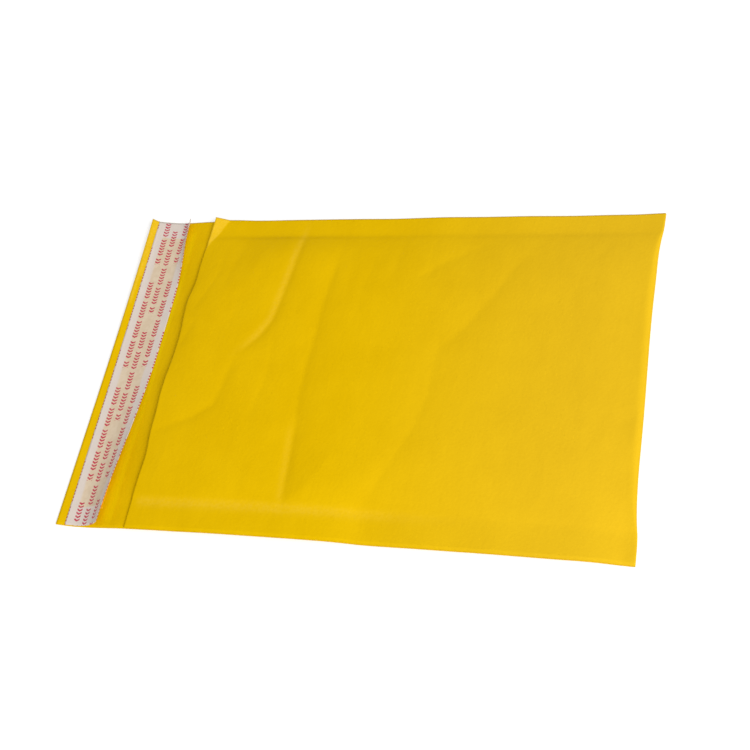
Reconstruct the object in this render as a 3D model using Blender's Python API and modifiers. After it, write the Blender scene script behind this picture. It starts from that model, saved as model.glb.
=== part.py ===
"""Padded envelope, lying open on its back with its flap spread flat. Metres, +Z up.

One sheet of kraft paper makes the front panel, the bottom fold, the back panel and the flap.
A bubble film lining is folded the same way inside it. Strips of glue close the two side seams.
The flap carries a strip of adhesive under a release liner.

X runs from the flap (-X) to the bottom fold (+X), and Y across the envelope, with the near side
at -Y. The origin is under the middle of the whole length, on the surface that it lies on.
Lengths along the envelope are measured from the mouth, which is the edge of the front panel.
"""

import math

import bmesh
import bpy

# Outer sheet
WIDTH = 0.216
BODY_LENGTH = 0.2834
FLAP_LENGTH = 0.0453
TIP_SKEW = 0.0012
PAPER = 0.0004

# Clearances between pieces that lie on each other
CLEAR = 0.0003
LINING_CLEAR = 0.0003

# Padding and pocket
LINING = 0.0015
POCKET = 0.0045
POCKET_AT_SIDES = 0.0004
LINING_TO_MOUTH = 0.013
LINING_TO_SEAM = 0.004
FOLD_THICKNESS = 0.008
FOLD_TAPER = 0.030

# Mouth: its height between the papers in the middle, and the rise of the back paper there
MOUTH_GAP = 0.0054
MOUTH_RISE = 0.0014
MOUTH_ARC = 0.050
CORNER_ALONG = 0.0115
CORNER_ACROSS = 0.0215
CORNER_SLOPE = 0.42

# Side seams
NEAR_SEAM = 0.0175
FAR_SEAM = 0.0150
SHOULDER = 0.014
GLUE = 0.0004
GLUE_INSET = 0.003
GLUE_TO_MOUTH = 0.018
GLUE_TO_FOLD = 0.005

# Height of the seams over the surface, from the mouth to the fold: (share, near side, far side)
SEAM_HEIGHTS = (
    (0.0, 0.0034, 0.0034),
    (0.22, 0.0058, 0.0032),
    (0.38, 0.0062, 0.0034),
    (0.54, 0.0045, 0.0040),
    (0.88, 0.0045, 0.0046),
    (1.0, 0.0028, 0.0058),
)

# Flap: it comes down to the surface, and its tip curls up, most of all at the far end
FLAP_LANDING = 0.028
FLAP_TIP = 0.0052
FLAP_CURL_NEAR = 0.0012
FLAP_CURL_FAR = 0.0056

# Adhesive and release liner. The liner's curl at each end: the width that stays flat, the angle
# that the rest bends up by, and how far it reaches along the liner
LINER_TO_MOUTH = 0.0143
LINER_WIDTH = 0.0270
LINER_THICKNESS = 0.0002
LINER_END_INSET = 0.0004
LINER_FLAT_NEAR = 0.0070
LINER_ANGLE_NEAR = math.radians(47)
LINER_REACH_NEAR = 0.110
LINER_FLAT_FAR = 0.0165
LINER_ANGLE_FAR = math.radians(95)
LINER_REACH_FAR = 0.070
ADHESIVE_WIDTH = 0.0170
ADHESIVE_THICKNESS = 0.0003
ADHESIVE_END_INSET = 0.012

# Swell of the front panel over its lining, and the buckles that press it back down.
# A buckle runs from one point to another: (along, across) from the mouth and the middle.
SWELL = 0.0004
BUCKLE_REACH = 0.0065
BUCKLES = (
    ((0.068, 0.086), (0.079, -0.004)),
    ((0.074, 0.026), (0.006, -0.040)),
    ((0.104, 0.078), (0.112, -0.086)),
    ((0.206, 0.078), (0.170, 0.002)),
    ((0.168, -0.030), (0.156, -0.086)),
)

# Grid steps of the sheets
LIP_STEPS = 4
PANEL_STEPS = 32
FOLD_STEPS = 8
BACK_STEPS = 20
FLAP_STEPS = 8
TIP_STEPS = 6
SEAM_STEPS = 2
SHOULDER_STEPS = 5
MIDDLE_STEPS = 16
STRIP_STEPS = 24

# Colours, as linear RGB
PAPER_YELLOW = (0.77, 0.47, 0.006)
FILM_CLEAR = (0.80, 0.82, 0.82)
GLUE_CREAM = (0.80, 0.74, 0.58)
ADHESIVE_AMBER = (0.62, 0.43, 0.20)
LINER_WHITE = (0.66, 0.62, 0.56)

# Sizes that follow from the ones above
HALF_WIDTH = WIDTH / 2
NEAR_CREASE = HALF_WIDTH - NEAR_SEAM
FAR_CREASE = HALF_WIDTH - FAR_SEAM
POCKET_HALF_WIDTH = (NEAR_CREASE + FAR_CREASE) / 2
SEAM_GAP = PAPER + GLUE + 2 * CLEAR
FULL_GAP = PAPER + 2 * (LINING_CLEAR + LINING) + POCKET
LIP_GAP = PAPER + MOUTH_GAP
FOLD_GAP = FOLD_THICKNESS - PAPER
QUARTER_TURN = math.pi / 2
FOLD_REACH = BODY_LENGTH - (QUARTER_TURN - 1) * SEAM_GAP / 2 + PAPER / 2
TIP_REACH = FLAP_LENGTH + TIP_SKEW
MOUTH_X = (TIP_REACH - FOLD_REACH) / 2


def clamp(value):
    return min(max(value, 0.0), 1.0)


def smooth(value):
    """A smooth step from 0 to 1."""
    t = clamp(value)
    return t * t * (3 - 2 * t)


def blend(start, end, share):
    return start + (end - start) * share


def far_share(across):
    """0 at the near edge, 1 at the far edge."""
    return (across + HALF_WIDTH) / WIDTH


def bulge(along, across):
    """Share of the full padding: 0 on the seams, 1 past their shoulders. It is a wide arc at the mouth."""
    inside = min(across + NEAR_CREASE, FAR_CREASE - across)
    shoulder = blend(POCKET_HALF_WIDTH, SHOULDER, smooth(along / MOUTH_ARC))
    return 1 - (1 - clamp(inside / shoulder)) ** 3


def middle_gap(along):
    """Distance between the middles of the front and back paper, halfway across."""
    fold_start = BODY_LENGTH - QUARTER_TURN * FOLD_GAP / 2
    padded = blend(FOLD_GAP, FULL_GAP, smooth((fold_start - along) / FOLD_TAPER))
    return blend(LIP_GAP, padded, smooth(along / LINING_TO_MOUTH))


def panel_gap(along, across):
    return blend(SEAM_GAP, middle_gap(along), bulge(along, across))


def seam_height(along, across):
    """Height of the nearest seam's middle over the surface."""
    share = clamp(along / BODY_LENGTH)
    for start, end in zip(SEAM_HEIGHTS, SEAM_HEIGHTS[1:]):
        if share <= end[0]:
            break
    step = smooth((share - start[0]) / (end[0] - start[0]))
    side = 2 if across > 0 else 1
    return blend(start[side], end[side], step)


def back_height(along, across):
    """Middle of the back paper: flat on the surface, and lifted at the seams and the mouth."""
    in_middle = PAPER / 2 + MOUTH_RISE * (1 - smooth(along / LINING_TO_MOUTH))
    at_seam = seam_height(along, across) - SEAM_GAP / 2
    return blend(at_seam, in_middle, bulge(along, across))


def distance_to_line(point, start, end):
    """Distance from a point to a straight stretch, all as (along, across)."""
    run = (end[0] - start[0], end[1] - start[1])
    offset = (point[0] - start[0], point[1] - start[1])
    share = clamp((offset[0] * run[0] + offset[1] * run[1]) / (run[0] ** 2 + run[1] ** 2))
    return math.hypot(offset[0] - share * run[0], offset[1] - share * run[1])


def swell(along, across):
    """Height of the front paper over its lining. It fades at the edges and in the buckles."""
    to_fold = smooth((BODY_LENGTH - along) / FOLD_TAPER - 1)
    fade = bulge(along, across) * to_fold * smooth(along / LINING_TO_MOUTH)
    for start, end in BUCKLES:
        away = distance_to_line((along, across), start, end)
        fade *= 1 - math.exp(-((away / BUCKLE_REACH) ** 2))
    return SWELL * fade


def corner_rise(along, across):
    """The far corner of the mouth is bent up beyond a slanting crease."""
    beyond = 1 - along / CORNER_ALONG - (HALF_WIDTH - across) / CORNER_ACROSS
    crease_distance = CORNER_ALONG * CORNER_ACROSS / math.hypot(CORNER_ALONG, CORNER_ACROSS)
    return CORNER_SLOPE * crease_distance * max(beyond, 0.0)


def front_height(along, across):
    """Middle of the front paper."""
    height = back_height(along, across) + panel_gap(along, across)
    return height + swell(along, across) + corner_rise(along, across)


def flap_length(across):
    return FLAP_LENGTH + TIP_SKEW * (1 - 2 * far_share(across))


def flap_height(along, across):
    """Middle of the flap's paper, where along is negative."""
    fallen = blend(back_height(0, across), PAPER / 2, smooth(-along / FLAP_LANDING))
    tip_length = flap_length(across)
    curl = blend(FLAP_CURL_NEAR, FLAP_CURL_FAR, far_share(across) ** 3)
    return fallen + curl * clamp((-along - tip_length + FLAP_TIP) / FLAP_TIP) ** 1.5


def fold_centre(across):
    """Centre (along, height) and radius of the bottom fold, to the paper's middle."""
    radius = panel_gap(BODY_LENGTH, across) / 2
    along = BODY_LENGTH - QUARTER_TURN * radius
    return along, back_height(along, across) + radius, radius


def stations(*runs):
    """Positions of grid lines through runs of (from, to, steps) that follow each other."""
    places = [runs[0][0]]
    for start, end, steps in runs:
        places += [blend(start, end, step / steps) for step in range(1, steps + 1)]
    return places


def lining_runs():
    """Runs of grid lines across the lining, closer together on its shoulders."""
    near, far = LINING_TO_SEAM - NEAR_CREASE, FAR_CREASE - LINING_TO_SEAM
    near_top, far_top = SHOULDER - NEAR_CREASE, FAR_CREASE - SHOULDER
    return [
        (near, near_top, SHOULDER_STEPS),
        (near_top, far_top, MIDDLE_STEPS),
        (far_top, far, SHOULDER_STEPS),
    ]


def grid_sheet(name, along_places, across_places, place):
    """A grid whose lines are the given places, each vertex put where place(along, across) says."""
    mesh = bpy.data.meshes.new(name)
    bm = bmesh.new()
    half = 0.5
    bmesh.ops.create_grid(
        bm, x_segments=len(along_places) - 1, y_segments=len(across_places) - 1, size=half)
    for vertex in bm.verts:
        row = round((vertex.co.x / half + 1) / 2 * (len(along_places) - 1))
        column = round((vertex.co.y / half + 1) / 2 * (len(across_places) - 1))
        along, across, height = place(along_places[row], across_places[column])
        vertex.co = (MOUTH_X + along, across, height)
    bm.to_mesh(mesh)
    bm.free()
    mesh.shade_smooth()
    return bpy.data.objects.new(name, mesh)


def add_thickness(piece, thickness, offset=0.0):
    solidify = piece.modifiers.new("Thickness", "SOLIDIFY")
    solidify.thickness = thickness
    solidify.offset = offset
    solidify.use_even_offset = True
    return solidify


def material(name, colour, roughness):
    made = bpy.data.materials.new(name)
    made.use_nodes = True
    shader = made.node_tree.nodes["Principled BSDF"]
    shader.inputs["Base Color"].default_value = (*colour, 1.0)
    shader.inputs["Roughness"].default_value = roughness
    shader.inputs["Metallic"].default_value = 0.0
    return made


def folded_place(route, across, inset):
    """A point on a sheet folded like the envelope, inset from the middle of the paper.

    route is 0 to 1 along the front, to 2 round the fold, to 3 back along the back panel."""
    fold_along, fold_height, radius = fold_centre(across)
    if route <= 1:
        along = fold_along * route
        return along, across, back_height(along, across) + panel_gap(along, across) - inset
    if route <= 2:
        angle = math.pi * (route - 1)
        inner = radius - inset
        return fold_along + inner * math.sin(angle), across, fold_height + inner * math.cos(angle)
    along = fold_along * (3 - route)
    return along, across, back_height(along, across) + inset


def paper_place(route, across):
    """A point on the outer paper. route goes on to 4 at the tip of the flap."""
    if route > 3:
        along = -flap_length(across) * (route - 3)
        return along, across, flap_height(along, across)
    along, across, height = folded_place(route, across, 0.0)
    if route <= 1:
        height = front_height(along, across)
    return along, across, height


def lining_place(route, across):
    """A point on the lining's outer side, which lies against the paper."""
    return folded_place(route, across, PAPER / 2 + LINING_CLEAR)


def outer_paper():
    lip = LINING_TO_MOUTH / BODY_LENGTH
    tip = 4 - FLAP_TIP / FLAP_LENGTH
    routes = stations(
        (0, lip, LIP_STEPS), (lip, 1, PANEL_STEPS), (1, 2, FOLD_STEPS),
        (2, 3 - lip, BACK_STEPS), (3 - lip, 3, LIP_STEPS),
        (3, tip, FLAP_STEPS), (tip, 4, TIP_STEPS))
    columns = stations(
        (-HALF_WIDTH, -NEAR_CREASE, SEAM_STEPS),
        (-NEAR_CREASE, LINING_TO_SEAM - NEAR_CREASE, SEAM_STEPS),
        *lining_runs(),
        (FAR_CREASE - LINING_TO_SEAM, FAR_CREASE, SEAM_STEPS),
        (FAR_CREASE, HALF_WIDTH, SEAM_STEPS))
    piece = grid_sheet("outer_paper", routes, columns, paper_place)
    add_thickness(piece, PAPER)
    return piece


def bubble_lining():
    """The lining is thinner towards the seams, where the papers press it together."""
    lip = LINING_TO_MOUTH / BODY_LENGTH
    routes = stations((lip, 1, PANEL_STEPS), (1, 2, FOLD_STEPS), (2, 3 - lip, BACK_STEPS))
    piece = grid_sheet("bubble_lining", routes, stations(*lining_runs()), lining_place)
    pressed = piece.vertex_groups.new(name="Thickness share")
    for vertex in piece.data.vertices:
        along = vertex.co.x - MOUTH_X
        room = panel_gap(along, vertex.co.y) - PAPER - 2 * LINING_CLEAR - POCKET_AT_SIDES
        pressed.add([vertex.index], min(room / 2 / LINING, 1.0), "REPLACE")
    solidify = add_thickness(piece, LINING, offset=-1.0)
    solidify.vertex_group = pressed.name
    return piece


def seam_glue(name, low_edge, high_edge):
    """A strip of glue between the two papers of the seam that lies between these edges."""
    lengths = stations((GLUE_TO_MOUTH, BODY_LENGTH - GLUE_TO_FOLD, PANEL_STEPS))
    widths = stations((low_edge + GLUE_INSET, high_edge - GLUE_INSET, 1))
    piece = grid_sheet(
        name, lengths, widths, lambda along, across: (along, across, seam_height(along, across)))
    add_thickness(piece, GLUE)
    return piece


def adhesive_strip():
    to_mouth = LINER_TO_MOUTH + (LINER_WIDTH - ADHESIVE_WIDTH) / 2
    height = PAPER / 2 + CLEAR + ADHESIVE_THICKNESS / 2
    half_length = HALF_WIDTH - ADHESIVE_END_INSET
    piece = grid_sheet(
        "adhesive_strip",
        stations((-to_mouth - ADHESIVE_WIDTH, -to_mouth, FLAP_STEPS)),
        stations((-half_length, half_length, STRIP_STEPS)),
        lambda along, across: (along, across, flap_height(along, across) + height))
    add_thickness(piece, ADHESIVE_THICKNESS)
    return piece


def release_liner():
    """The liner lies on the adhesive, and its edge towards the mouth curls up at both ends."""
    height = PAPER / 2 + CLEAR + ADHESIVE_THICKNESS + CLEAR + LINER_THICKNESS / 2
    half_length = HALF_WIDTH - LINER_END_INSET
    outer = -LINER_TO_MOUTH - LINER_WIDTH

    def place(share, across):
        if across > 0:
            flat, full_angle, reach = LINER_FLAT_FAR, LINER_ANGLE_FAR, LINER_REACH_FAR
        else:
            flat, full_angle, reach = LINER_FLAT_NEAR, LINER_ANGLE_NEAR, LINER_REACH_NEAR
        to_end = clamp(1 - (half_length - abs(across)) / reach)
        angle = max(full_angle * smooth(to_end), 1e-4)
        radius = (LINER_WIDTH - flat) / angle
        bent = max(share * LINER_WIDTH - flat, 0.0) / radius
        along = outer + min(share * LINER_WIDTH, flat) + radius * math.sin(bent)
        rise = radius * (1 - math.cos(bent))
        return along, across, flap_height(along, across) + height + rise

    piece = grid_sheet(
        "release_liner",
        stations((0, 1, 2 * SHOULDER_STEPS)),
        stations((-half_length, half_length, STRIP_STEPS)),
        place)
    add_thickness(piece, LINER_THICKNESS)
    return piece


def main():
    for old in list(bpy.data.objects):
        bpy.data.objects.remove(old, do_unlink=True)
    envelope = bpy.data.collections.new("Padded envelope")
    bpy.context.scene.collection.children.link(envelope)
    paper = material("Yellow kraft paper", PAPER_YELLOW, 0.6)
    film = material("Bubble film", FILM_CLEAR, 0.25)
    glue = material("Seam glue", GLUE_CREAM, 0.5)
    adhesive = material("Flap adhesive", ADHESIVE_AMBER, 0.3)
    liner = material("Liner paper", LINER_WHITE, 0.45)
    pieces = (
        (outer_paper(), paper),
        (bubble_lining(), film),
        (seam_glue("near_seam_glue", -HALF_WIDTH, -NEAR_CREASE), glue),
        (seam_glue("far_seam_glue", FAR_CREASE, HALF_WIDTH), glue),
        (adhesive_strip(), adhesive),
        (release_liner(), liner),
    )
    for piece, finish in pieces:
        piece.data.materials.append(finish)
        envelope.objects.link(piece)


main()
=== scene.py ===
"""Looks of the padded envelope: creased kraft paper, bubble film, printed liner and adhesive.

Places on the envelope are (along, across): along runs from the mouth, which is the edge of the
front panel, to the bottom fold, and is negative on the flap. across is 0 in the middle and
negative on the near side. Sizes are in metres, apart from those that say millimetres.
"""

import math

import bmesh
import bpy
import numpy as np
from mathutils import Matrix, Vector


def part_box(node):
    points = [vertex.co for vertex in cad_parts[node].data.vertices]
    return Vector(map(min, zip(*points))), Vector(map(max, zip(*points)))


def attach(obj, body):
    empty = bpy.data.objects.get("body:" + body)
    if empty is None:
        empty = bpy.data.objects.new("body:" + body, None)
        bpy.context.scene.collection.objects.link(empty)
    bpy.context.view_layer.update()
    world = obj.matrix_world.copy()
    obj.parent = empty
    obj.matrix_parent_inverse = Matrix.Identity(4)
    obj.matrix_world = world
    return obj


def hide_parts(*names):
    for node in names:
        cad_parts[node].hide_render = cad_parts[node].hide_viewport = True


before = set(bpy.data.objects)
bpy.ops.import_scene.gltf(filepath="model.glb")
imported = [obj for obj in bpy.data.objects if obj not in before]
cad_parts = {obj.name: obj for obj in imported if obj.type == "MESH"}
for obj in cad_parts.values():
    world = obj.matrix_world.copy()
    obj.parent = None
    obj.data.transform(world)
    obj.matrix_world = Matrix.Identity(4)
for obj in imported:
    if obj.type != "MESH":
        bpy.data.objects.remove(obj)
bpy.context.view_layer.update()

MM = 0.001
QUARTER_TURN = math.pi / 2

# The sheet: half its width, the panels' length, and the flap's, whose tip is skewed and bulges
HALF_WIDTH = 0.108
BODY_LENGTH = 0.2834
FLAP_LENGTH = 0.0454
TIP_SKEW = 0.0009
TIP_BULGE = 0.0004

# The mouth lies this far from the tip of the solids' flap
CAD_TIP_REACH = 0.0465
MOUTH_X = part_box("outer_paper")[0].x + CAD_TIP_REACH

# Where the seams end and the padding begins, on either side of the middle
NEAR_CREASE = 0.0905
FAR_CREASE = 0.0943
CREASE_SOFTNESS = 0.0016

# Thickness of the paper, here and in the solids
PAPER = 0.0003
CAD_PAPER = 0.0004

# Distance between the middles of the front and back paper, in the seams, over the padding and at
# the bottom fold, and the length over which the padding tapers to the fold
SEAM_GAP = 0.0014
FULL_GAP = 0.0082
FOLD_GAP = 0.0076
FOLD_TAPER = 0.030

# The lining: the height of its bubbles, and its distance from the paper, the mouth and the seams
LINING = 0.0019
LINING_CLEAR = 0.0003
LINING_TO_MOUTH = 0.013
LINING_TO_SEAM = 0.004

# The lips of the mouth nearly meet in the middle, where they are lifted off the surface.
# The arc is wide at the mouth, and both changes fade inwards.
LIP_GAP = 0.0034
LIP_RISE = 0.0042
LIP_FADE = 0.055
LIP_FADE_POWER = 2.3
MOUTH_ARC = 0.060

# The padding's shoulders: a short rise at each seam's crease, and a broad one after it. The table
# holds, along the envelope and in millimetres, the short rise's share, in thousandths, and the
# broad one's width
SHORT_REACH = 0.005
SHORT_POWER = 3
BROAD_POWER = 2.5
NEAR_SHOULDER = ((0, 180, 40), (60, 240, 22), (125, 230, 24), (150, 90, 45), (284, 60, 60))
FAR_SHOULDER = ((0, 120, 60), (40, 190, 26), (75, 150, 30), (110, 110, 45), (284, 110, 50))

# Height of the middle of each side seam over the surface, along the envelope, in millimetres
NEAR_SEAM = (
    (0, 3.5), (8, 3.9), (15, 4.3), (30, 4.7), (38, 5.2), (53, 5.8), (75, 6.1), (103, 6.4),
    (116, 6.3), (123, 6.1), (130, 5.5), (137, 4.7), (149, 4.4), (165, 4.8), (189, 4.9), (208, 5.1),
    (227, 4.8), (245, 4.5), (260, 4.5), (270, 3.5), (277, 2.4), (284, 2.0))
FAR_SEAM = (
    (0, 3.3), (17, 3.3), (25, 2.8), (60, 3.0), (100, 3.2), (122, 3.1), (137, 3.6), (152, 4.1),
    (175, 4.0), (204, 4.3), (233, 4.1), (254, 4.6), (268, 4.8), (284, 6.0))

# The flap comes down to the surface, and its tip curls up. At the far end it lands further out,
# curls more sharply and is lifted as well
FLAP_LANDING_NEAR = 0.030
FLAP_LANDING_FAR = 0.042
FLAP_TIP_NEAR = 0.012
FLAP_TIP_FAR = 0.004
FLAP_CURL_NEAR = 0.0016
FLAP_CURL_FAR = 0.0026
FLAP_CURL_POWER = 1.5
FLAP_LIFT = 0.0040
FLAP_LIFT_REACH = 0.024

# Where the edge of the front panel stands out of a straight line: (across, along), in millimetres
LIP_EDGE = (
    (-108, -1.3), (-95, -1.4), (-80, -0.8), (-61, 0.3), (-48, -0.7), (-36, -0.8), (-21, -1.4),
    (-10, -1.1), (0, -0.6), (22, -0.6), (34, -1.7), (44, -2.2), (52, -1.3), (60, -0.7), (70, -1.2),
    (82, -1.2), (90, -0.6), (98, 0.0), (108, 1.2))
LIP_EDGE_FADE = 0.016

# The same for the bottom fold, which flares at its far end
FOLD_EDGE = (
    (-108, 0.0), (-97, 0.0), (-84, -0.55), (-60, -0.55), (-42, -0.2), (42, -0.25), (62, 0.1),
    (88, 0.15), (101, 1.1), (108, 1.4))
FOLD_EDGE_FADE = 0.030

# The far corner of the mouth, bent up beyond a slanting crease
CORNER_ALONG = 0.0098
CORNER_ACROSS = 0.0215
CORNER_SLOPE = 0.42


def smooth(value):
    """A smooth step from 0 to 1."""
    t = np.clip(value, 0, 1)
    return t * t * (3 - 2 * t)


def blend(start, end, share):
    return start + (end - start) * share


def curve(value, table):
    """A smooth curve through a table of places and heights in millimetres."""
    places, heights = (np.array(column) * MM for column in zip(*table))
    slopes = np.gradient(heights, places)
    value = np.clip(value, places[0], places[-1])
    i = np.clip(np.searchsorted(places, value) - 1, 0, len(places) - 2)
    span = places[i + 1] - places[i]
    t = (value - places[i]) / span
    bend = t * (1 - t) * span * (slopes[i] * (1 - t) - slopes[i + 1] * t)
    return blend(heights[i], heights[i + 1], smooth(t)) + bend


def far_share(across):
    """0 at the near edge, 1 at the far edge."""
    return (across + HALF_WIDTH) / (2 * HALF_WIDTH)


def shoulder_curve(along, across, column):
    """One column of the shoulders' tables, for the side that the place is on."""
    near, far = ([(row[0], row[column]) for row in table] for table in (NEAR_SHOULDER, FAR_SHOULDER))
    return np.where(across > 0, curve(along, far), curve(along, near))


def bulge(along, across):
    """Share of the full padding: 0 on the seams, 1 past their shoulders."""
    inside = np.minimum(across + NEAR_CREASE, FAR_CREASE - across)
    inside = (inside + np.hypot(inside, CREASE_SOFTNESS)) / 2
    short = shoulder_curve(along, across, 1)
    broad = shoulder_curve(along, across, 2)
    broad = blend((NEAR_CREASE + FAR_CREASE) / 2, broad, smooth(along / MOUTH_ARC) ** 0.5)
    rise = 1 - (1 - np.clip(inside / broad, 0, 1)) ** BROAD_POWER
    return blend(rise, 1 - (1 - np.clip(inside / SHORT_REACH, 0, 1)) ** SHORT_POWER, short)


def at_lip(along):
    """1 at the mouth, 0 past its fade."""
    return np.clip(1 - along / LIP_FADE, 0, 1) ** LIP_FADE_POWER


def panel_gap(along, across):
    """Distance between the middles of the front and back paper."""
    fold_start = BODY_LENGTH - QUARTER_TURN * FOLD_GAP / 2
    padded = blend(FOLD_GAP, FULL_GAP, smooth((fold_start - along) / FOLD_TAPER))
    in_middle = blend(padded, LIP_GAP, at_lip(along))
    return blend(SEAM_GAP, in_middle, bulge(along, across))


def seam_height(along, across):
    return np.where(across > 0, curve(along, FAR_SEAM), curve(along, NEAR_SEAM))


def back_height(along, across):
    in_middle = CAD_PAPER / 2 + LIP_RISE * at_lip(along)
    at_seam = seam_height(along, across) - SEAM_GAP / 2
    return blend(at_seam, in_middle, bulge(along, across))


def flap_length(across):
    round_tip = TIP_BULGE * (1 - (across / HALF_WIDTH) ** 2)
    return FLAP_LENGTH + TIP_SKEW * (1 - 2 * far_share(across)) + round_tip


def flap_height(along, across):
    """Down from the mouth to the surface, more steadily at the sides, then up to the tip."""
    root = back_height(np.zeros_like(along), across)
    share = far_share(across) ** 3
    out = np.clip(-along / blend(FLAP_LANDING_NEAR, FLAP_LANDING_FAR, share), 0, 1)
    at_side = (across / HALF_WIDTH) ** 4
    fallen = blend(root, CAD_PAPER / 2, blend(1 - (1 - out) ** 2, smooth(out) ** 0.85, at_side))
    from_tip = along + flap_length(across)
    tip = blend(FLAP_TIP_NEAR, FLAP_TIP_FAR, share)
    curl = blend(FLAP_CURL_NEAR, FLAP_CURL_FAR, share)
    curl = curl * np.clip(1 - from_tip / tip, 0, None) ** FLAP_CURL_POWER
    lifted = np.clip(1 - from_tip / FLAP_LIFT_REACH, 0, None) ** FLAP_CURL_POWER
    return fallen + curl + share * FLAP_LIFT * lifted


def corner_rise(along, across):
    beyond = 1 - along / CORNER_ALONG - (HALF_WIDTH - across) / CORNER_ACROSS
    crease_distance = CORNER_ALONG * CORNER_ACROSS / math.hypot(CORNER_ALONG, CORNER_ACROSS)
    return CORNER_SLOPE * crease_distance * np.clip(beyond, 0, None)


# Creases of the front panel, in millimetres: the points that each runs through, its depth (a
# ridge is negative), and how far its slopes reach on the left and on the right of its way
CREASES = (
    (((66.5, 103), (65, 87), (63.5, 68), (61, 48), (58.5, 30), (53, 19), (46, 10), (40, 4)),
     1.35, 3.6, 5.5),
    (((60, 30), (63, 10), (64, -6), (62, -22), (58, -42)), 0.38, 4, 5),
    (((41, 4), (39, -6), (37, -18), (35, -29), (25, -37), (10, -44), (0, -49)), 0.75, 4, 6),
    (((93, 85), (90, 62), (88.5, 42), (88, 20), (87, 0), (87, -22), (89, -44), (90, -66),
      (91, -89), (92, -106)), 1.25, 6, 11),
    (((88, -40), (90, -66), (91, -84), (92, -92)), 0.45, 3.5, 5),
    (((91, -90), (101, -80), (109, -68), (114, -52)), -0.40, 6, 9),
    (((208, 82), (201, 68), (194.5, 55), (187, 42), (179, 29), (170, 17), (163, 8)), 0.70, 7, 7),
    (((164, 24), (164, 5), (163, -12), (161, -28), (157, -42), (149, -60), (142, -76),
      (136, -89), (134, -105)), 0.62, 6, 8),
    (((144, 60), (156, 71), (172, 81), (190, 89)), 0.75, 6, 11),
    (((14, 80), (15, 68), (10, 50), (5, 34)), 0.38, 3, 4),
    (((8, 30), (5, 20), (2, 10)), 0.30, 3, 5),
    (((25, 86), (23, 70), (18, 52)), 0.22, 2.5, 3.5),
    (((34, 52), (32, 36), (31, 18)), 0.20, 3.5, 4),
    (((116, 82), (114, 66), (111, 48)), 0.28, 5, 6),
    (((133, 90), (129, 74), (127, 50)), 0.20, 4, 6),
    (((152, 94), (150, 78), (153, 60)), 0.28, 3, 4),
    (((239, 60), (237, 40), (240, 10)), 0.22, 5, 6),
    (((258, 92), (250, 78), (242, 70)), 0.26, 4, 6),
    (((280, -26), (268, -32)), 0.24, 3, 4),
)
CREASE_ROUNDING = 0.5

# Painted sheen, as paler paper on the right of some creases: (place in the list, strength), how wide
# that streak is in millimetres, and how strong the painted sheen on the bent corner of the mouth is
CREASE_SHEEN = ((0, 0.26), (4, 0.14))
CREASE_SHEEN_WIDTH = 1.9
CORNER_SHEEN = 0.45

# Painted highlight: a pale streak just outside the near seam's crease, from the mouth until it fades
# away
SEAM_SHEEN = 0.26
SEAM_SHEEN_OUTSIDE = 0.001
SEAM_SHEEN_WIDTH = 0.0026
SEAM_SHEEN_START = 0.006
SEAM_SHEEN_END = 0.210
SEAM_SHEEN_FADE = 0.110

# Paper lower than this gets no painted sheen, which leaves out most of the back and the flap
SHEEN_HEIGHT = 0.003


def beside_crease(points, along, across):
    """Distance from a crease, negative on the left of its way, and its strength near its ends."""
    best = np.full_like(along, np.inf)
    side = np.zeros_like(along)
    run = np.zeros_like(along)
    lengths = [math.dist(a, b) for a, b in zip(points, points[1:])]
    whole = sum(lengths)
    before = 0.0
    for (ax, ay), (bx, by), length in zip(points, points[1:], lengths):
        ux, uy = (bx - ax) / length, (by - ay) / length
        px, py = along / MM - ax, across / MM - ay
        t = np.clip(px * ux + py * uy, 0, length)
        away = np.hypot(px - t * ux, py - t * uy)
        closer = away < best
        best = np.where(closer, away, best)
        side = np.where(closer, px * uy - py * ux, side)
        run = np.where(closer, before + t, run)
        before += length
    at_start = smooth(run / (0.2 * whole) + 0.25)
    at_end = smooth((whole - run) / (0.25 * whole) + 0.15)
    return np.where(side < 0, -best, best), np.minimum(at_start, at_end)


def crease_heights(along, across):
    total = np.zeros_like(along)
    for points, depth, left, right in CREASES:
        away, ends = beside_crease(points, along, across)
        reach = blend(left, right, smooth(away / 3 + 0.5))
        total -= depth * MM * np.exp(-np.hypot(away, CREASE_ROUNDING) / reach) * ends
    return total


def painted_sheen_share(along, across):
    """How strong the painted sheen on the front paper is, from 0 to 1."""
    total = np.zeros_like(along)
    # Painted sheen: paler streaks beside some creases
    for which, strength in CREASE_SHEEN:
        away, ends = beside_crease(CREASES[which][0], along, across)
        total += strength * ends * np.exp(-((away - CREASE_SHEEN_WIDTH) / CREASE_SHEEN_WIDTH) ** 2)
    # Painted highlight along the near seam's shoulder
    seam = np.exp(-((across + NEAR_CREASE + SEAM_SHEEN_OUTSIDE) / SEAM_SHEEN_WIDTH) ** 2)
    faded = smooth((SEAM_SHEEN_END - along) / SEAM_SHEEN_FADE)
    total += SEAM_SHEEN * seam * faded * smooth(along / SEAM_SHEEN_START)
    # Painted sheen on the bent corner of the mouth
    return total + CORNER_SHEEN * (corner_rise(along, across) > 0)


# The paper's unevenness: waves of three lengths, drawn out across the envelope
WAVE_SEED = 4
WAVES_OF_A_LENGTH = 6
WAVE_LENGTHS = (34 * MM, 17 * MM, 9 * MM)
WAVE_HEIGHTS = (0.08 * MM, 0.07 * MM, 0.05 * MM)
WAVE_STRETCH = 1.8


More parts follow.
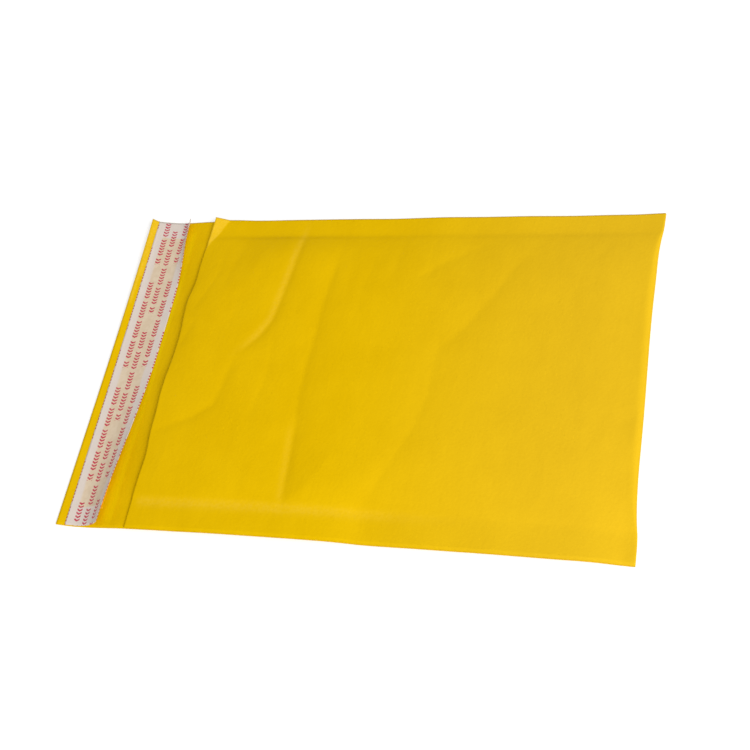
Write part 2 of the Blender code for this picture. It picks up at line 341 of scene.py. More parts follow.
def waves(along, across):
    """Gentle unevenness: a sum of plane waves in seeded directions."""
    draw = np.random.default_rng(WAVE_SEED)
    total = np.zeros_like(along)
    for length, height in zip(WAVE_LENGTHS, WAVE_HEIGHTS):
        for _ in range(WAVES_OF_A_LENGTH):
            angle = draw.uniform(0, math.pi)
            phase = draw.uniform(0, 2 * math.pi)
            size = length * draw.uniform(0.7, 1.4)
            path = along * math.cos(angle) + across * math.sin(angle) / WAVE_STRETCH
            total += height / WAVES_OF_A_LENGTH * np.sin(2 * math.pi * path / size + phase)
    return total


# The front panel swells a little over the padding
SWELL = 0.0005

# Its lip turns down by this depth, or by a least share of it outside two places across. Those
# places, the widths over which the turn starts and ends there, and how far in it reaches, which
# grows past a third place, are in millimetres
LIP_TURN = -0.7 * MM
LIP_TURN_LEAST = 0.15
LIP_TURN_START = -14
LIP_TURN_START_WIDTH = 18
LIP_TURN_END = 92
LIP_TURN_END_WIDTH = 16
LIP_REACH = 3.0
LIP_REACH_FAR = 6.0
LIP_REACH_GROWS = 50
LIP_REACH_GROWS_WIDTH = 25

# Creases and waves are weaker on the seams, and creases fade out before the bottom fold
CREASES_ON_SEAM = 0.25
CREASES_TO_FOLD = 0.012
WAVES_ON_SEAM = 0.2


def front_relief(along, across):
    """Creases and unevenness of the front panel over its padding."""
    padding = bulge(along, across)
    on_padding = padding * smooth(along / LINING_TO_MOUTH)
    on_padding = on_padding * smooth((BODY_LENGTH - along) / FOLD_TAPER)
    place = across / MM
    turned = smooth((place - LIP_TURN_START) / LIP_TURN_START_WIDTH)
    turned = turned * smooth((LIP_TURN_END - place) / LIP_TURN_END_WIDTH)
    grown = smooth((place - LIP_REACH_GROWS) / LIP_REACH_GROWS_WIDTH)
    lip_reach = blend(LIP_REACH, LIP_REACH_FAR, grown) * MM
    lip = LIP_TURN * np.exp(-along / lip_reach) * blend(LIP_TURN_LEAST, 1.0, turned)
    fade = CREASES_ON_SEAM + (1 - CREASES_ON_SEAM) * padding
    fade = fade * smooth((BODY_LENGTH - along) / CREASES_TO_FOLD)
    uneven = waves(along, across) * (WAVES_ON_SEAM + (1 - WAVES_ON_SEAM) * on_padding)
    return SWELL * on_padding + lip + crease_heights(along, across) * fade + uneven


def front_height(along, across):
    height = back_height(along, across) + panel_gap(along, across)
    return height + front_relief(along, across) + corner_rise(along, across)


def stations(*runs):
    """Places of a grid's lines: each run is its start, its end and its number of steps."""
    places = [np.array([runs[0][0]])]
    for start, end, steps in runs:
        places.append(start + (end - start) * np.arange(1, steps + 1) / steps)
    return np.concatenate(places)


def new_object(name, data):
    made = bpy.data.objects.new(name, data)
    bpy.context.scene.collection.objects.link(made)
    return made


def mesh_from(bm, name):
    mesh = bpy.data.meshes.new(name)
    bm.to_mesh(mesh)
    bm.free()
    return mesh


def mesh_points(mesh):
    """The x, y and z of all vertices."""
    points = np.empty(len(mesh.vertices) * 3)
    mesh.vertices.foreach_get("co", points)
    return points.reshape(-1, 3).T


def placed_piece(mesh, along, across, height):
    """An object of the mesh, with its vertices at these places on the envelope."""
    mesh.vertices.foreach_set("co", np.stack([MOUTH_X + along, across, height], -1).ravel())
    mesh.update()
    mesh.shade_smooth()
    return new_object(mesh.name, mesh)


def grid_piece(name, rows, columns, place, uv=None):
    """A grid whose lines are the given places, each vertex put where place says."""
    half = 0.5
    bm = bmesh.new()
    bmesh.ops.create_grid(bm, x_segments=len(rows) - 1, y_segments=len(columns) - 1, size=half)
    mesh = mesh_from(bm, name)
    x, y, _ = mesh_points(mesh)
    row = np.rint((x / half + 1) / 2 * (len(rows) - 1)).astype(int)
    column = np.rint((y / half + 1) / 2 * (len(columns) - 1)).astype(int)
    if uv is not None:
        u, v = uv(rows[row], columns[column])
        corners = np.empty(len(mesh.loops), int)
        mesh.loops.foreach_get("vertex_index", corners)
        layer = mesh.uv_layers.new(name="flat")
        layer.data.foreach_set("uv", np.stack([u[corners], v[corners]], -1).ravel())
    return placed_piece(mesh, *place(rows[row], columns[column]))


def add_thickness(piece, thickness):
    solidify = piece.modifiers.new("Thickness", "SOLIDIFY")
    solidify.thickness = thickness
    solidify.offset = 0.0
    solidify.use_even_offset = True
    return solidify


def fold_centre(across):
    """Place, height and radius of the bottom fold's turn."""
    ends = np.full_like(across, BODY_LENGTH)
    radius = panel_gap(ends, across) / 2
    along = BODY_LENGTH - QUARTER_TURN * radius
    return along, back_height(along, across) + radius, radius


def folded_place(route, across, inset):
    """A point on a sheet folded like the envelope.

    route is 0 to 1 on the front, 2 after the fold and 3 at the mouth again. inset is the
    distance inwards from the middle of the paper.
    """
    fold_along, fold_height, radius = fold_centre(across)
    angle = math.pi * np.clip(route - 1, 0, 1)
    along = np.where(route <= 1, fold_along * route, fold_along * (3 - route))
    turning = (route > 1) & (route < 2)
    front = back_height(along, across) + panel_gap(along, across) - inset
    back = back_height(along, across) + inset
    inner = radius - inset
    height = np.where(route <= 1, front, back)
    along = np.where(turning, fold_along + inner * np.sin(angle), along)
    height = np.where(turning, fold_height + inner * np.cos(angle), height)
    return along, across, height


def fold_shift(along, across):
    return curve(across, FOLD_EDGE) * smooth(1 - (BODY_LENGTH - along) / FOLD_EDGE_FADE)


def paper_place(route, across):
    """A point on the outer paper: route as on a folded sheet, and 3 to 4 on the flap."""
    along, across, height = folded_place(route, across, 0.0)
    height = np.where(route <= 1, front_height(along, across), height)
    along = along + fold_shift(along, across)
    lip_shift = curve(across, LIP_EDGE) * smooth(1 - along / LIP_EDGE_FADE)
    along = np.where(route <= 1, along + lip_shift, along)
    out = -flap_length(across) * (route - 3)
    on_flap = route > 3
    along = np.where(on_flap, out, along)
    height = np.where(on_flap, flap_height(out, across), height)
    return along, across, height


def make_outer_paper():
    lip = LINING_TO_MOUTH / BODY_LENGTH
    routes = stations(
        (0, lip, 16), (lip, 1, 200), (1, 2, 14), (2, 3 - lip, 30), (3 - lip, 3, 6), (3, 4, 32))
    near_top, far_top = SHORT_REACH - NEAR_CREASE, FAR_CREASE - SHORT_REACH
    columns = stations(
        (-HALF_WIDTH, -NEAR_CREASE, 8), (-NEAR_CREASE, near_top, 8), (near_top, far_top, 104),
        (far_top, FAR_CREASE, 8), (FAR_CREASE, HALF_WIDTH, 14))
    piece = grid_piece("kraft_paper_sheet", routes, columns, paper_place)
    x, y, z = mesh_points(piece.data)
    # Painted sheen on the front paper, kept as a point attribute for the material
    painted_sheen = painted_sheen_share(x - MOUTH_X, y) * (z > SHEEN_HEIGHT)
    piece.data.attributes.new("painted_sheen", "FLOAT", "POINT").data.foreach_set("value", painted_sheen)
    add_thickness(piece, PAPER)
    return piece


# Glue between the papers of each side seam
GLUE = 0.0004
GLUE_INSET = 0.003
GLUE_TO_MOUTH = 0.018
GLUE_TO_FOLD = 0.005


def make_glue(name, low_edge, high_edge):
    piece = grid_piece(
        name, stations((GLUE_TO_MOUTH, BODY_LENGTH - GLUE_TO_FOLD, 120)),
        stations((low_edge + GLUE_INSET, high_edge - GLUE_INSET, 6)),
        lambda along, across: (along, across, seam_height(along, across)))
    add_thickness(piece, GLUE)
    return piece


# Release liner. It curls at each end: the width that stays flat, the angle that the rest bends
# up by, and how far the curl reaches along it, for the near and the far end
LINER_TO_MOUTH = 0.0143
LINER_WIDTH = 0.0265
LINER_THICKNESS = 0.0001
LINER_END_INSET = 0.0004
LINER_HALF_LENGTH = HALF_WIDTH - LINER_END_INSET
LINER_FLAT = (0.0065, 0.0184)
LINER_ANGLE = (math.radians(47), math.radians(88))
LINER_REACH = (0.120, 0.060)
LINER_HEIGHT = 0.0006

# The bend is never quite 0, so that its radius stays finite
LEAST_ANGLE = 1e-4


def liner_place(share, across):
    """A point on the liner: share is 0 at its edge by the flap's tip and 1 at the other."""
    far = across > 0
    flat, full_angle, reach = (
        np.where(far, ends[1], ends[0]) for ends in (LINER_FLAT, LINER_ANGLE, LINER_REACH))
    to_end = np.clip(1 - (LINER_HALF_LENGTH - np.abs(across)) / reach, 0, 1)
    angle = np.maximum(full_angle * smooth(to_end), LEAST_ANGLE)
    radius = (LINER_WIDTH - flat) / angle
    bent = np.maximum(share * LINER_WIDTH - flat, 0.0) / radius
    unbent = np.minimum(share * LINER_WIDTH, flat)
    along = -LINER_TO_MOUTH - LINER_WIDTH + unbent + radius * np.sin(bent)
    height = flap_height(along, across) + LINER_HEIGHT + radius * (1 - np.cos(bent))
    return along, across, height


def make_liner():
    piece = grid_piece(
        "printed_liner", stations((0, 1, 30)),
        stations((-LINER_HALF_LENGTH, LINER_HALF_LENGTH, 160)), liner_place,
        uv=lambda share, across: (0.5 - across / (2 * LINER_HALF_LENGTH), share))
    add_thickness(piece, LINER_THICKNESS)
    return piece


# Adhesive on the flap under the liner: its width, the distance of its edge from the liner's edge
# by the mouth, how far it reaches to each side, and its height over the flap
ADHESIVE_WIDTH = 0.0160
ADHESIVE_TO_EDGE = 0.0062
ADHESIVE_REACH = 0.096
ADHESIVE_HEIGHT = 0.0002
ADHESIVE_THICKNESS = 0.0001


def make_adhesive():
    low = -LINER_TO_MOUTH - ADHESIVE_TO_EDGE - ADHESIVE_WIDTH
    high = -LINER_TO_MOUTH - ADHESIVE_TO_EDGE
    piece = grid_piece(
        "adhesive_film", stations((low, high, 24)), stations((-ADHESIVE_REACH, ADHESIVE_REACH, 140)),
        lambda along, across: (along, across, flap_height(along, across) + ADHESIVE_HEIGHT))
    add_thickness(piece, ADHESIVE_THICKNESS)
    return piece


# Bubble film lining: a sheet of hexagonal cells, each with a dome towards the pocket
BUBBLE_PITCH = 0.0112
BUBBLE_RADIUS = 0.0048
BUBBLE_SIDES = 12
BUBBLE_RINGS = 2
CELL_CORNER = BUBBLE_PITCH / math.sqrt(3)
ROW_PITCH = BUBBLE_PITCH * math.sqrt(3) / 2
FILM = 0.00012
FILM_TO_PAPER = 0.0002

# At the film's edges, points of a cell closer than the first are one, and a cell that is cut
# narrower than the second is left out. Vertices within the third are joined
SAME_POINT = 1e-4
NARROWEST_CELL = 3e-4
WELD = 2e-5


def lining_lengths():
    """Lengths of the lining's front or back run and of its turn, and the fold's place."""
    along, _, radius = (float(value[0]) for value in fold_centre(np.zeros(1)))
    return along - LINING_TO_MOUTH, math.pi * (radius - CAD_PAPER / 2 - LINING_CLEAR), along


def lining_place(path, across, depth):
    """A point on the lining: path is the distance from its front edge along the film.

    depth is the height over the film's side by the paper.
    """
    run, turn, fold_along = lining_lengths()
    lip = LINING_TO_MOUTH / fold_along
    front = lip + (1 - lip) * path / run
    turning = 1 + (path - run) / turn
    back = 2 + (1 - lip) * (path - run - turn) / run
    route = np.where(path <= run, front, np.where(path < run + turn, turning, back))
    along, across, height = folded_place(route, across, CAD_PAPER / 2 + LINING_CLEAR + depth)
    height = height + np.where(path <= run, front_relief(along, across), 0.0)
    return along + fold_shift(along, across), across, height


def cell_loops():
    """Loops of a cell, as (path, across, share of the dome's height): a hexagon, then rings."""
    turns = [2 * math.pi * side / BUBBLE_SIDES + math.pi / 6 for side in range(BUBBLE_SIDES)]
    reaches = [CELL_CORNER if side % 2 == 0 else BUBBLE_PITCH / 2 for side in range(BUBBLE_SIDES)]
    loops = [[(reach, 0.0) for reach in reaches]]
    for ring in range(BUBBLE_RINGS + 1):
        lean = QUARTER_TURN * (1 - ring / (BUBBLE_RINGS + 1))
        loops.append([(BUBBLE_RADIUS * math.sin(lean), math.cos(lean))] * BUBBLE_SIDES)
    return [[(reach * math.cos(turn), reach * math.sin(turn), dome)
             for (reach, dome), turn in zip(loop, turns)] for loop in loops]


def add_bubble(bm, path, across, loops):
    made = [[bm.verts.new((path + dx, across + dy, dome)) for dx, dy, dome in loop]
            for loop in loops]
    top = bm.verts.new((path, across, 1.0))
    for side in range(BUBBLE_SIDES):
        after = (side + 1) % BUBBLE_SIDES
        for outer, inner in zip(made, made[1:]):
            bm.faces.new((outer[side], outer[after], inner[after], inner[side]))
        bm.faces.new((made[-1][side], made[-1][after], top))


def add_cut_cell(bm, path, across, hexagon, whole, near, far):
    """A flat cell at the film's edge, cut off where the film ends."""
    outline = []
    for dx, dy, _ in hexagon:
        point = (min(max(path + dx, 0.0), whole), min(max(across + dy, near), far), 0.0)
        if all(math.dist(point, other) > SAME_POINT for other in outline):
            outline.append(point)
    spans = [max(value) - min(value) for value in zip(*outline)]
    if min(spans[:2]) > NARROWEST_CELL:
        bm.faces.new([bm.verts.new(point) for point in outline])


def make_lining():
    """One sheet folded like the paper, with domes towards the pocket."""
    run, turn, _ = lining_lengths()
    whole = 2 * run + turn
    near, far = LINING_TO_SEAM - NEAR_CREASE, FAR_CREASE - LINING_TO_SEAM
    loops = cell_loops()
    bm = bmesh.new()
    for row in range(int(whole / ROW_PITCH) + 2):
        path = row * ROW_PITCH
        whole_row = CELL_CORNER < path < whole - CELL_CORNER
        for column in range(int((far - near) / BUBBLE_PITCH) + 3):
            across = near + (column - row % 2 / 2) * BUBBLE_PITCH
            if whole_row and near + CELL_CORNER < across < far - CELL_CORNER:
                add_bubble(bm, path, across, loops)
            else:
                add_cut_cell(bm, path, across, loops[0], whole, near, far)
    bmesh.ops.remove_doubles(bm, verts=bm.verts, dist=WELD)
    mesh = mesh_from(bm, "bubble_film")
    path, across, dome = mesh_points(mesh)
    along, _, _ = lining_place(path, across, 0.0)
    room = (panel_gap(along, across) - CAD_PAPER) / 2 - LINING_CLEAR - FILM_TO_PAPER
    depth = FILM + dome * np.clip(room - FILM, 0, LINING)
    piece = placed_piece(mesh, *lining_place(path, across, depth))
    add_thickness(piece, FILM).use_even_offset = False
    return piece


class Graph:
    """One material, and short ways to add nodes to it."""

    def __init__(self, name):
        self.material = bpy.data.materials.new(name)
        self.material.use_nodes = True
        self.tree = self.material.node_tree
        self.shader = self.tree.nodes["Principled BSDF"]

    def add(self, kind, **settings):
        node = self.tree.nodes.new("ShaderNode" + kind)
        for name, value in settings.items():
            setattr(node, name, value)
        return node

    def put(self, socket, value):
        """A socket gets a number, a colour or another node's output."""
        if isinstance(value, bpy.types.NodeSocket):
            self.tree.links.new(value, socket)
        else:
            socket.default_value = value

    def math(self, operation, *values):
        node = self.add("Math", operation=operation)
        for socket, value in zip(node.inputs, values):
            self.put(socket, value)
        return node.outputs["Value"]

    def step(self, value, start, end, low=0.0, high=1.0):
        """A smooth step from low, where value is start, to high, where it is end."""
        node = self.add("MapRange", interpolation_type="SMOOTHSTEP")
        settings = (value, start, end, low, high)
        for name, setting in zip(("Value", "From Min", "From Max", "To Min", "To Max"), settings):
            self.put(node.inputs[name], setting)
        return node.outputs["Result"]

    def band(self, value, start, end, soft):
        """1 between start and end, 0 outside, with soft edges."""
        rising = self.step(value, start - soft, start + soft)
        return self.math("SUBTRACT", rising, self.step(value, end - soft, end + soft))

    def below(self, value, edge, soft):
        """1 below the edge and 0 above it, with a soft change."""
        return self.math("SUBTRACT", 1.0, self.step(value, edge - soft, edge + soft))

    def mix(self, share, first, second):
        node = self.add("Mix", data_type="RGBA")
        self.put(node.inputs[0], share)
        self.put(node.inputs[6], first)
        self.put(node.inputs[7], second)
        return node.outputs[2]

    def place(self, kind="Object"):
        return self.add("TexCoord").outputs[kind]

    def parts(self, vector):
        node = self.add("SeparateXYZ")
        self.put(node.inputs[0], vector)
        return node.outputs

    def stretched(self, vector, factors):
        node = self.add("VectorMath", operation="MULTIPLY")
        self.put(node.inputs[0], vector)
        node.inputs[1].default_value = factors
        return node.outputs["Vector"]

    def noise(self, vector, size, detail=2.0, roughness=0.5):
        """Noise whose blots are about the given size."""
        node = self.add("TexNoise")
        self.put(node.inputs["Vector"], vector)
        node.inputs["Scale"].default_value = 1 / size
        node.inputs["Detail"].default_value = detail
        node.inputs["Roughness"].default_value = roughness
        return node.outputs["Fac"]

    def bump(self, height, distance, strength=1.0, after=None):
        node = self.add("Bump")
        node.inputs["Distance"].default_value = distance
        node.inputs["Strength"].default_value = strength
        self.put(node.inputs["Height"], height)
        if after is not None:
            self.put(node.inputs["Normal"], after)
        return node.outputs["Normal"]

    def finish(self, color, roughness, normal, specular, **others):
        self.put(self.shader.inputs["Base Color"], color)
        self.put(self.shader.inputs["Roughness"], roughness)
        self.put(self.shader.inputs["Normal"], normal)
        self.shader.inputs["Specular IOR Level"].default_value = specular
        for name, value in others.items():
            self.put(self.shader.inputs[name], value)
        return self.material


def linear(value):
    """Light of a display value, 0 to 255."""
    share = value / 255
    return ((share + 0.055) / 1.055) ** 2.4 if value > 10 else share / 12.92


def ink(red, green, blue):
    """A colour from its display values."""
    return (linear(red), linear(green), linear(blue), 1.0)


# Painted sheen: the paper is painted paler from here, along the envelope, to the bottom fold, in
# place of the key light's reflection there
FOLD_SHEEN_START = 0.10
FOLD_SHEEN_SHARE = 0.26

# Painted light: a brighter band on the flap, along the liner's edge by the mouth, with a ragged
# outline, that lightens the liner's shade and stands in for light bounced off the liner
LIT_BAND_START = -0.0172
LIT_BAND_END = -0.0114
LIT_BAND_SOFTNESS = 1.6 * MM
LIT_BAND_RAGGEDNESS = 1.5 * MM
LIT_BAND_SIDES = (-0.104, 0.100)
LIT_BAND_SIDE_SOFTNESS = 6 * MM


def kraft_material():
    """Smooth yellow kraft: fine fibres along the sheet, cloudy patches and a dull gloss, with
    painted sheen on the front and a band of painted light on the flap.
    """
    g = Graph("Yellow kraft paper")
    place = g.place()
    fibres = g.noise(g.stretched(place, (0.22, 1.0, 1.0)), 0.45 * MM, 4.0, 0.6)
    clouds = g.noise(place, 26 * MM, 3.0, 0.55)
    flecks = g.noise(place, 1.6 * MM, 3.0, 0.65)
    sides = g.parts(place)
    color = g.mix(g.step(clouds, 0.3, 0.7), ink(230, 185, 0), ink(234, 189, 2))
    # Painted sheen, growing towards the bottom fold
    fold_sheen = g.step(sides["X"], MOUTH_X + FOLD_SHEEN_START, MOUTH_X + BODY_LENGTH, 0.0, FOLD_SHEEN_SHARE)
    color = g.mix(fold_sheen, color, ink(232, 187, 62))
    color = g.mix(g.step(fibres, 0.35, 0.8, 0.0, 0.14), color, ink(205, 155, 0))
    color = g.mix(g.step(flecks, 0.58, 0.78, 0.0, 0.16), color, ink(248, 205, 24))
    # Painted light: the brighter band on the flap along the liner's edge
    raggedness = g.math("MULTIPLY", g.noise(place, 9 * MM), LIT_BAND_RAGGEDNESS)
    ragged = g.math("ADD", sides["X"], raggedness)
    lit_band = g.band(ragged, MOUTH_X + LIT_BAND_START, MOUTH_X + LIT_BAND_END, LIT_BAND_SOFTNESS)
    lit_band = g.math("MULTIPLY", lit_band, g.band(sides["Y"], *LIT_BAND_SIDES, LIT_BAND_SIDE_SOFTNESS))
    color = g.mix(lit_band, color, ink(237, 199, 1))
    # Painted sheen: paler paper where the point attribute says
    painted_sheen = g.add("Attribute", attribute_name="painted_sheen").outputs["Fac"]
    painted_sheen = g.math("MULTIPLY", painted_sheen, g.step(flecks, 0.35, 0.6, 0.35, 1.0))
    color = g.mix(painted_sheen, color, ink(246, 202, 64))
    roughness = g.step(flecks, 0.2, 0.8, 0.50, 0.64)
    normal = g.bump(fibres, 0.03 * MM, 0.6)
    normal = g.bump(g.noise(place, 1.8 * MM, 4.0, 0.6), 0.16 * MM, 1.0, normal)
    normal = g.bump(g.noise(g.stretched(place, (1.0, 0.5, 1.0)), 7 * MM), 0.22 * MM, 1.0, normal)
    return g.finish(color, roughness, normal, 0.02)


# The liner's print, in millimetres on the flat strip: v is from the edge by the flap's tip and
# u from the far end. Each row of marks has its middle, the height of its marks and where a run
# starts
PRINT_ROWS = (
    (6.6, 3.4, 46.6), (12.6, 3.4, 6.6), (19.5, 3.4, 45.6), (0.0, 0.9, 20.0), (26.3, 1.4, 6.6))
RUN_LENGTH = 63.0
RUN_REPEAT = 77.0
MARK_PITCH = 2.1
MARKS_IN_GROUP = 6
MARK_WEIGHT = 1.15
MARK_SLANT = 0.55
MARK_SOFTNESS = 0.1

# Where the liner is stuck down: v from and to, and how far from its far and near ends
STUCK_WIDTH = (5.6, 21.4)
STUCK_FROM_FAR = 13.0
STUCK_FROM_NEAR = 11.0


def print_row(g, u, v, middle, height, start):
    """Chevrons in groups, in runs with gaps between them."""
    from_middle = g.math("ABSOLUTE", g.math("SUBTRACT", v, middle))
    in_row = g.below(from_middle, height / 2, MARK_SOFTNESS)
    in_run = g.math("FLOORED_MODULO", g.math("SUBTRACT", u, start), RUN_REPEAT)
    of_run = g.below(in_run, RUN_LENGTH, MARK_SOFTNESS)
    slanted = g.math("ADD", in_run, g.math("MULTIPLY", from_middle, MARK_SLANT))
    cell = g.math("FLOORED_MODULO", slanted, MARK_PITCH)
    away = g.math("ABSOLUTE", g.math("SUBTRACT", cell, MARK_PITCH / 2))
    mark = g.below(away, MARK_WEIGHT / 2, MARK_SOFTNESS)
    in_group = g.math("FLOORED_MODULO", slanted, MARK_PITCH * (MARKS_IN_GROUP + 1))
    of_group = g.math("LESS_THAN", in_group, MARK_PITCH * MARKS_IN_GROUP)
    return g.math("MULTIPLY", g.math("MULTIPLY", in_row, of_run), g.math("MULTIPLY", mark, of_group))


def liner_material():
    """Glassine strip with faded red marks, beige where it lies on the adhesive."""
    g = Graph("Printed liner paper")
    strip = g.parts(g.place("UV"))
    length = 2 * LINER_HALF_LENGTH / MM
    u = g.math("MULTIPLY", strip["X"], length)
    v = g.math("MULTIPLY", strip["Y"], LINER_WIDTH / MM)
    place = g.place()
    cloud = g.noise(place, 7 * MM, 3.0, 0.6)
    grain = g.noise(place, 0.6 * MM, 3.0, 0.6)
    color = g.mix(cloud, ink(214, 201, 190), ink(224, 211, 200))
    u_wavy = g.math("ADD", u, g.math("MULTIPLY", cloud, 2.0))
    v_wavy = g.math("ADD", v, g.math("MULTIPLY", g.noise(place, 12 * MM), 1.2))
    stuck_along = g.band(u_wavy, STUCK_FROM_FAR, length - STUCK_FROM_NEAR, 0.5)
    stuck = g.math("MULTIPLY", g.band(v_wavy, *STUCK_WIDTH, 0.9), stuck_along)
    blotches = g.step(g.noise(place, 3.5 * MM), 0.35, 0.65)
    color = g.mix(stuck, color, g.mix(blotches, ink(221, 201, 173), ink(215, 193, 164)))
    marks, *other_rows = [print_row(g, u, v, *row) for row in PRINT_ROWS]
    for row in other_rows:
        marks = g.math("MAXIMUM", marks, row)
    faded = g.step(g.noise(place, 1.2 * MM, 3.0, 0.7), 0.25, 0.6, 0.65, 1.0)
    color = g.mix(g.math("MULTIPLY", marks, faded), color, ink(190, 44, 70))
    roughness = g.step(grain, 0.3, 0.7, 0.38, 0.5)
    normal = g.bump(grain, 0.02 * MM, 0.5)
    normal = g.bump(g.noise(g.stretched(place, (1.0, 0.5, 1.0)), 5 * MM), 0.25 * MM, 0.5, normal)
    return g.finish(color, roughness, normal, 0.35)


def adhesive_material():
    """Clear tacky adhesive, orange over the yellow paper, with streaks along the strip."""
    g = Graph("Pressure adhesive")
    streaks = g.noise(g.stretched(g.place(), (1.0, 0.08, 1.0)), 1.5 * MM, 3.0, 0.6)
    color = g.mix(g.step(streaks, 0.3, 0.7), ink(243, 174, 4), ink(248, 184, 20))
    normal = g.bump(streaks, 0.06 * MM, 0.6)
    return g.finish(color, g.step(streaks, 0.3, 0.7, 0.3, 0.45), normal, 0.2)


def glue_material():
    """Pale hot-melt glue, pressed flat, with a patchy face."""
    g = Graph("Seam glue")
    patches = g.noise(g.place(), 4 * MM, 3.0, 0.6)
    color = g.mix(g.step(patches, 0.3, 0.7), ink(224, 200, 120), ink(236, 216, 150))
    normal = g.bump(patches, 0.1 * MM, 0.5)
    return g.finish(color, g.step(patches, 0.3, 0.7, 0.3, 0.45), normal, 0.5)


def film_material():
    """Clear polyethylene bubble film over yellow paper."""
    g = Graph("Bubble film")
    place = g.place()
    haze = g.noise(place, 6 * MM, 3.0, 0.6)
    color = g.mix(g.step(haze, 0.3, 0.7), ink(236, 214, 150), ink(240, 226, 180))
    roughness = g.step(haze, 0.2, 0.8, 0.16, 0.3)
    normal = g.bump(g.noise(place, 2.5 * MM), 0.15 * MM, 0.6)
    return g.finish(color, roughness, normal, 0.5, Alpha=0.72)


# Camera, fitted to the photograph's corners and edges
CAMERA_AZIMUTH = math.radians(32.572)
CAMERA_ELEVATION = math.radians(55.639)
CAMERA_ROLL = math.radians(-26.128)
CAMERA_TARGET = Vector((0.12903 + MOUTH_X, -0.00462, 0.0056))
CAMERA_DISTANCE = 0.71072
CAMERA_FOCAL_PIXELS = 1244.0
CAMERA_NEAREST = 0.01
IMAGE_PIXELS = 750
SENSOR = 36


def add_camera():
    level = math.cos(CAMERA_ELEVATION)
    cosine, sine = math.cos(CAMERA_AZIMUTH), math.sin(CAMERA_AZIMUTH)
    back = Vector((sine * level, -cosine * level, math.sin(CAMERA_ELEVATION)))
    right = Vector((cosine, sine, 0))
    up = back.cross(right)
    turned_right = math.cos(CAMERA_ROLL) * right + math.sin(CAMERA_ROLL) * up
    turned_up = math.cos(CAMERA_ROLL) * up - math.sin(CAMERA_ROLL) * right
    data = bpy.data.cameras.new("Camera")
    data.sensor_width = SENSOR
    data.lens = CAMERA_FOCAL_PIXELS * SENSOR / IMAGE_PIXELS
    data.clip_start = CAMERA_NEAREST
    camera = new_object("Camera", data)
    placed = Matrix((turned_right, turned_up, back)).transposed().to_4x4()
    placed.translation = CAMERA_TARGET + back * CAMERA_DISTANCE
    camera.matrix_world = placed
    bpy.context.scene.camera = camera


# The key light, and the strength of the even light from all around
KEY_DIRECTION = Vector((0.6, -0.5, 0.75))
KEY_DISTANCE = 2.2
KEY_SIZE = 1.2
KEY_POWER = 40
SURROUND = 0.45


def add_key_light():
    data = bpy.data.lights.new("Key", "AREA")
    data.size = KEY_SIZE
    data.energy = KEY_POWER
    lamp = new_object("Key", data)
    towards = KEY_DIRECTION.normalized()
    lamp.location = towards * KEY_DISTANCE
    lamp.rotation_euler = (-towards).to_track_quat("-Z", "Y").to_euler()


def add_world():
    """An even pale surround, white where the camera, a gloss or glass shows it."""
    world = bpy.data.worlds.new("Studio")
    world.use_nodes = True
    nodes, links = world.node_tree.nodes, world.node_tree.links
    background = nodes["Background"]
    background.inputs["Color"].default_value = (1, 1, 1, 1)
    path = nodes.new("ShaderNodeLightPath")
    seen = path.outputs["Is Camera Ray"]
    for kind in ("Is Glossy Ray", "Is Transmission Ray"):
        either = nodes.new("ShaderNodeMath")
        either.operation = "MAXIMUM"
        links.new(seen, either.inputs[0])
        links.new(path.outputs[kind], either.inputs[1])
        seen = either.outputs["Value"]
    level = nodes.new("ShaderNodeMapRange")
    level.inputs["To Min"].default_value = SURROUND
    level.inputs["To Max"].default_value = 1.0
    links.new(seen, level.inputs["Value"])
    links.new(level.outputs["Result"], background.inputs["Strength"])
    bpy.context.scene.world = world


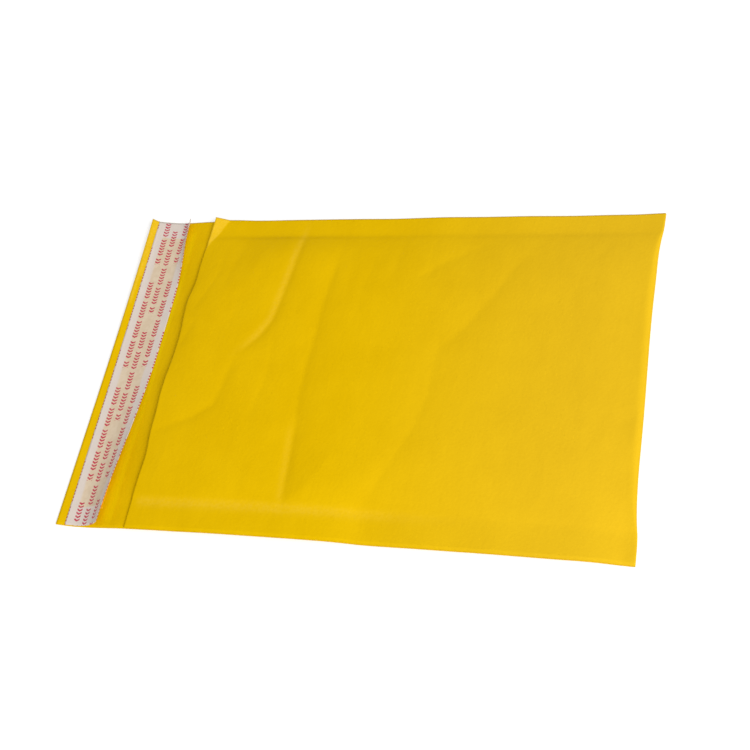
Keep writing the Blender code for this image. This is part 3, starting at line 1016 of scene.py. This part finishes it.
# The floor lies just under the envelope. Its glow, where it is seen, grows between two squared
# distances from the middle, so that its rim is lost in the white around it
FLOOR_REACH = 0.8
FLOOR_DROP = 0.0002
FLOOR_GREY = 0.86
FLOOR_GLOW = 0.34
FLOOR_GLOW_FAR = 0.60
FLOOR_GLOW_SQUARES = (0.12, 0.45)


def floor_material():
    """Pale, and white wherever the camera, a gloss or glass shows it unshaded."""
    g = Graph("Pale floor")
    path = g.add("LightPath")
    seen = g.math("MAXIMUM", path.outputs["Is Camera Ray"], path.outputs["Is Glossy Ray"])
    seen = g.math("MAXIMUM", seen, path.outputs["Is Transmission Ray"])
    g.shader.inputs["Base Color"].default_value = (FLOOR_GREY, FLOOR_GREY, FLOOR_GREY, 1)
    g.shader.inputs["Roughness"].default_value = 0.9
    g.shader.inputs["Specular IOR Level"].default_value = 0.0
    g.shader.inputs["Emission Color"].default_value = (1, 1, 1, 1)
    sides = g.parts(g.place())
    squares = [g.math("MULTIPLY", sides[axis], sides[axis]) for axis in ("X", "Y")]
    glow = g.step(g.math("ADD", *squares), *FLOOR_GLOW_SQUARES, FLOOR_GLOW, FLOOR_GLOW_FAR)
    g.put(g.shader.inputs["Emission Strength"], g.math("MULTIPLY", seen, glow))
    return g.material


def add_floor():
    bm = bmesh.new()
    bmesh.ops.create_grid(bm, x_segments=1, y_segments=1, size=FLOOR_REACH)
    mesh = mesh_from(bm, "Floor")
    mesh.materials.append(floor_material())
    floor = new_object("Floor", mesh)
    floor.location.z = -FLOOR_DROP


def dress(piece, material, node):
    piece.data.materials.append(material)
    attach(piece, "root")
    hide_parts(node)


def main():
    bpy.context.scene.view_settings.view_transform = "Standard"
    dress(make_outer_paper(), kraft_material(), "outer_paper")
    dress(make_liner(), liner_material(), "release_liner")
    dress(make_lining(), film_material(), "bubble_lining")
    dress(make_adhesive(), adhesive_material(), "adhesive_strip")
    glue = glue_material()
    dress(make_glue("near_glue_strip", -HALF_WIDTH, -NEAR_CREASE), glue, "near_seam_glue")
    dress(make_glue("far_glue_strip", FAR_CREASE, HALF_WIDTH), glue, "far_seam_glue")
    add_camera()
    add_world()
    add_key_light()
    add_floor()


main()
